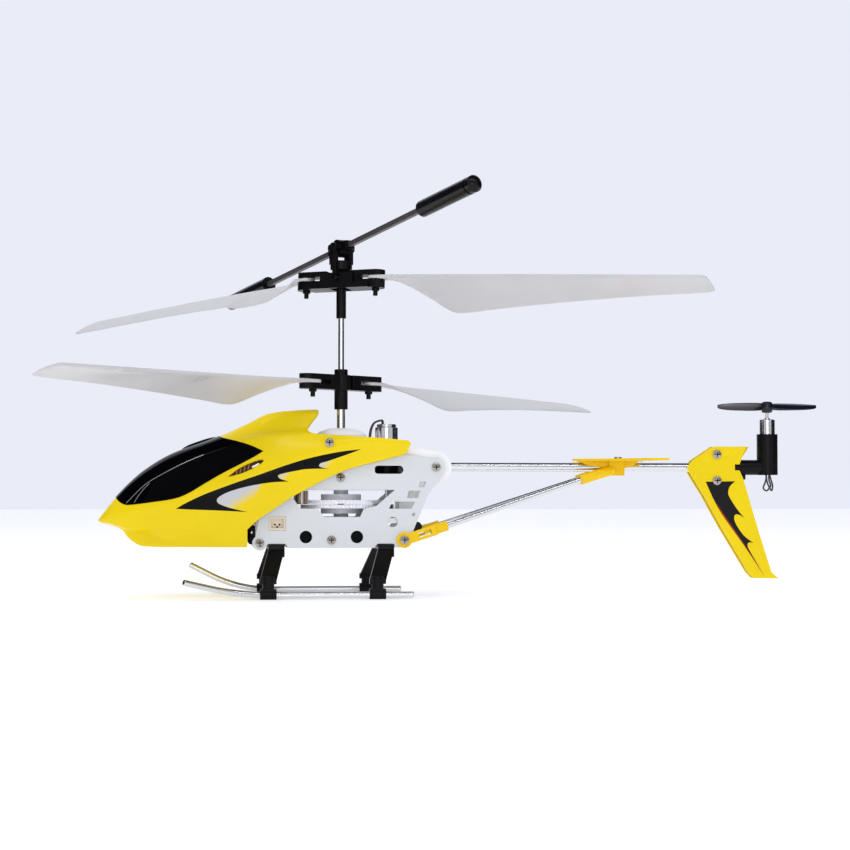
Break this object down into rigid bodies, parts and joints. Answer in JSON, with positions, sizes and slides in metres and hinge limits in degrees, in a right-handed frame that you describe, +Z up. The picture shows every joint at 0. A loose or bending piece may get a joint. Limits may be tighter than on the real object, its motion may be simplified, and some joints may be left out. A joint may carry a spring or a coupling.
{
  "type": "toy helicopter",
  "caption": "Small coaxial toy helicopter: open metal frame, streamlined canopy, stacked contra-turning rotors with a weighted flybar, thin tail boom, fin and upright tail rotor.",
  "frame": {"origin": "middle of the whole model's footprint, on the ground plane under the skids", "axes": "+X towards the tail, +Y towards the model's right side, +Z up along the rotor mast"},
  "size_m": [0.201, 0.137, 0.1015],
  "materials": {
    "yellow_gloss": "gloss",
    "yellow_clip": "satin gloss",
    "black_glass": "mirror gloss",
    "black_plastic": "satin",
    "weight_black": "satin gloss",
    "plate_aluminium": "satin",
    "frame_white": "satin",
    "gear_nylon": "satin",
    "blade_white": "milky, slightly see-through",
    "steel": "polished",
    "tube_steel": "drawn tube",
    "screw_steel": "plated",
    "motor_can": "polished",
    "brass": "turned",
    "flybar_grey": "satin",
    "rotor_navy": "satin gloss",
    "battery_wrap": "satin",
    "board_green": "satin",
    "lamp_clear": "clear",
    "socket_beige": "satin",
    "lead_black": "matte"
  },
  "bodies": {
    "airframe": {"battery": "battery_wrap", "battery_cover": "frame_white", "body_screws": "screw_steel", "canopy_shell": "yellow_gloss", "charge_socket": "socket_beige", "circuit_board": "board_green", "fin_left": "yellow_gloss", "fin_right": "yellow_gloss", "front_motor": "motor_can", "front_motor_leads": "lead_black", "leg_frames": "black_plastic", "lower_spacer": "black_plastic", "main_frame": "frame_white", "mast_bearings": "brass", "nose_light": "lamp_clear", "power_switch_body": "black_plastic", "rear_motor": "motor_can", "rear_motor_leads": "lead_black", "side_plate_left": "plate_aluminium", "side_plate_right": "plate_aluminium", "skid_clips": "black_plastic", "skid_rods": "tube_steel", "stabiliser": "yellow_clip", "stabiliser_pin": "screw_steel", "strut_bracket": "yellow_clip", "strut_clips": "yellow_clip", "struts": "tube_steel", "tail_boom": "tube_steel", "tail_leads": "lead_black", "tail_motor": "motor_can", "tail_motor_mount": "black_plastic", "vent_grilles": "black_plastic", "windshield": "black_glass"},
    "lower_rotor": {"outer_mast_shaft": "steel", "upper_drive_gear": "gear_nylon", "lower_rotor_hub": "black_plastic", "lower_blade_pins": "steel"},
    "upper_rotor": {"inner_mast_shaft": "steel", "inner_shaft_collar": "steel", "lower_drive_gear": "gear_nylon", "rotor_head": "black_plastic", "flybar_pivot_pin": "steel"},
    "upper_hub": {"upper_rotor_hub": "black_plastic", "upper_blade_pins": "steel"},
    "flybar": {"flybar_holder": "black_plastic", "flybar_rod": "flybar_grey", "flybar_weights": "weight_black"},
    "near_link": {"link_near": "black_plastic"},
    "far_link": {"link_far": "black_plastic"},
    "lower_left_blade": {"lower_blade_left": "blade_white"},
    "lower_right_blade": {"lower_blade_right": "blade_white"},
    "upper_left_blade": {"upper_blade_left": "blade_white"},
    "upper_right_blade": {"upper_blade_right": "blade_white"},
    "front_drive": {"front_motor_shaft": "steel", "front_pinion": "brass"},
    "rear_drive": {"rear_motor_shaft": "steel", "rear_pinion": "brass"},
    "tail_prop": {"tail_rotor": "rotor_navy", "tail_motor_shaft": "steel"},
    "switch_slider": {"power_switch_slider": "black_plastic"}
  },
  "joints": [
    {"name": "lower_rotor_spin", "type": "hinge", "parent": "airframe", "child": "lower_rotor", "pos_m": [-0.02604, -0.00034, 0.05], "axis": [0, 0, 1], "continuous": true},
    {"name": "upper_rotor_spin", "type": "hinge", "parent": "airframe", "child": "upper_rotor", "pos_m": [-0.02604, -0.00034, 0.075], "axis": [0, 0, 1], "continuous": true},
    {"name": "front_pinion_spin", "type": "hinge", "parent": "airframe", "child": "front_drive", "pos_m": [-0.03664, -0.00564, 0.026], "axis": [0, 0, 1], "continuous": true},
    {"name": "rear_pinion_spin", "type": "hinge", "parent": "airframe", "child": "rear_drive", "pos_m": [-0.01419, -0.00034, 0.026], "axis": [0, 0, 1], "continuous": true},
    {"name": "flybar_tilt", "type": "hinge", "parent": "upper_rotor", "child": "flybar", "pos_m": [-0.02604, -0.00034, 0.0902], "axis": [-0.8942, -0.4478, 0], "range_deg": [-28.4, 11.6]},
    {"name": "hub_feather", "type": "hinge", "parent": "upper_rotor", "child": "upper_hub", "pos_m": [-0.02604, -0.00034, 0.08225], "axis": [-0.866, 0.5, 0], "range_deg": [-15.7, 6.4]},
    {"name": "near_link_swing", "type": "hinge", "parent": "flybar", "child": "near_link", "pos_m": [-0.02815, -0.00395, 0.09054], "axis": [-0.8942, -0.4478, 0], "range_deg": [-11.7, 28.5]},
    {"name": "far_link_swing", "type": "hinge", "parent": "flybar", "child": "far_link", "pos_m": [-0.02393, 0.00328, 0.08986], "axis": [-0.8942, -0.4478, 0], "range_deg": [-11.7, 28.5]},
    {"name": "lower_left_lag", "type": "hinge", "parent": "lower_rotor", "child": "lower_left_blade", "pos_m": [-0.0337, -0.00676, 0.0553], "axis": [0, 0, 1], "range_deg": [-24, 16]},
    {"name": "lower_right_lag", "type": "hinge", "parent": "lower_rotor", "child": "lower_right_blade", "pos_m": [-0.01838, 0.00609, 0.0553], "axis": [0, 0, 1], "range_deg": [-21, 19]},
    {"name": "upper_right_lag", "type": "hinge", "parent": "upper_hub", "child": "upper_right_blade", "pos_m": [-0.01738, -0.00534, 0.08225], "axis": [0.0403, 0.0698, 0.9968], "range_deg": [-28, 12]},
    {"name": "upper_left_lag", "type": "hinge", "parent": "upper_hub", "child": "upper_left_blade", "pos_m": [-0.0347, 0.00466, 0.08225], "axis": [0.0403, 0.0698, 0.9968], "range_deg": [-3.5, 36.5]},
    {"name": "tail_rotor_spin", "type": "hinge", "parent": "airframe", "child": "tail_prop", "pos_m": [0.08716, -0.00034, 0.048], "axis": [0, 0, 1], "continuous": true},
    {"name": "power_switch_slide", "type": "slide", "parent": "airframe", "child": "switch_slider", "axis": [1, 0, 0], "range_m": [0, 0.0019]}
  ],
  "couplings": [
    {"joint": "front_pinion_spin", "follows": "lower_rotor_spin", "ratio": -6.1818},
    {"joint": "rear_pinion_spin", "follows": "upper_rotor_spin", "ratio": -6.1818},
    {"joint": "hub_feather", "follows": "flybar_tilt", "ratio": 0.55},
    {"joint": "near_link_swing", "follows": "flybar_tilt", "ratio": -1},
    {"joint": "far_link_swing", "follows": "flybar_tilt", "ratio": -1}
  ]
}
